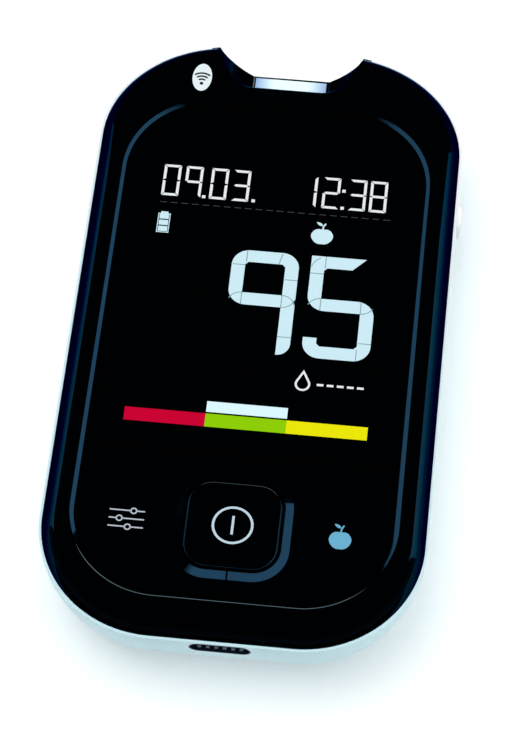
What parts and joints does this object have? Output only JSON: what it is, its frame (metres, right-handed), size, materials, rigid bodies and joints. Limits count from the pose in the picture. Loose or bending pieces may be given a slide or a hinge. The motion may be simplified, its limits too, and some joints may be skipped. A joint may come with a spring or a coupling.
{
  "type": "blood glucose meter",
  "caption": "Pocket blood glucose meter: gloss black display front with keys, finger scoop and strip port at one end, side ejector knob, data socket at the other end, battery door in the back.",
  "frame": {"origin": "middle of the flat back, on its outer face", "axes": "+X to the right as the display is read, +Y towards the strip port, +Z out of the display"},
  "size_m": [0.0546, 0.098, 0.0156],
  "materials": {
    "cover_gloss_black": "high gloss black with a blue cast in its highlights",
    "lens_black": "polished black printed window",
    "key_black": "gloss black, softer than the window",
    "casing_white": "fine satin moulding grain",
    "light_guide": "milky, lit from behind",
    "led_white": "small lit chip",
    "inner_black": "moulded, plain",
    "contact_gold": "plated, bright",
    "inner_white": "moulded, plain",
    "spring_steel": "bright drawn",
    "silicone": "soft, dull",
    "switch_metal": "thin domed sheet",
    "board": "solder mask, half gloss",
    "display_glass": "dark glass",
    "flex": "amber film",
    "radio_can": "tinned cover",
    "cell_steel": "fine brushed",
    "socket_steel": "folded sheet",
    "screw_steel": "zinc plated"
  },
  "bodies": {
    "root": {"front_cover": "cover_gloss_black", "strip_port_bezel": "cover_gloss_black", "display_window": "lens_black", "rear_cover": "casing_white", "strip_port_light_guide": "light_guide", "backlight_panel": "light_guide", "strip_light_led": "led_white", "strip_connector": "inner_black", "display_connector": "inner_black", "processor_chip": "inner_black", "socket_tongue": "inner_black", "strip_contact_1": "contact_gold", "strip_contact_2": "contact_gold", "strip_contact_3": "contact_gold", "lcd_frame": "inner_white", "ejector_spring": "spring_steel", "battery_contact_negative": "spring_steel", "battery_contact_positive": "spring_steel", "key_mat": "silicone", "set_switch": "switch_metal", "power_switch": "switch_metal", "meal_switch": "switch_metal", "main_board": "board", "lcd_module": "display_glass", "display_flex": "flex", "radio_module": "radio_can", "coin_cell": "cell_steel", "socket_shell": "socket_steel", "case_screw_1": "screw_steel", "case_screw_2": "screw_steel", "case_screw_3": "screw_steel", "case_screw_4": "screw_steel"},
    "power_key_body": {"power_key": "key_black"},
    "set_key_body": {"set_key": "key_black"},
    "meal_key_body": {"meal_key": "key_black"},
    "ejector_body": {"ejector_slider": "casing_white", "ejector_pusher": "inner_white"},
    "battery_door_body": {"battery_door": "casing_white"}
  },
  "joints": [
    {"name": "power_press", "type": "slide", "parent": "root", "child": "power_key_body", "axis": [0, 0, -1], "range_m": [0, 0.0004], "stiffness_N_per_m": 300, "springref_m": -0.001},
    {"name": "set_press", "type": "slide", "parent": "root", "child": "set_key_body", "axis": [0, 0, -1], "range_m": [0, 0.0004], "stiffness_N_per_m": 300, "springref_m": -0.001},
    {"name": "meal_press", "type": "slide", "parent": "root", "child": "meal_key_body", "axis": [0, 0, -1], "range_m": [0, 0.0004], "stiffness_N_per_m": 300, "springref_m": -0.001},
    {"name": "ejector_slide", "type": "slide", "parent": "root", "child": "ejector_body", "axis": [0, 1, 0], "range_m": [0, 0.003], "stiffness_N_per_m": 60, "springref_m": -0.004, "deforming": ["ejector_spring"]},
    {"name": "battery_door_hinge", "type": "hinge", "parent": "root", "child": "battery_door_body", "pos_m": [0, -0.03501, 0.00005], "axis": [-1, 0, 0], "range_deg": [0, 95]}
  ]
}
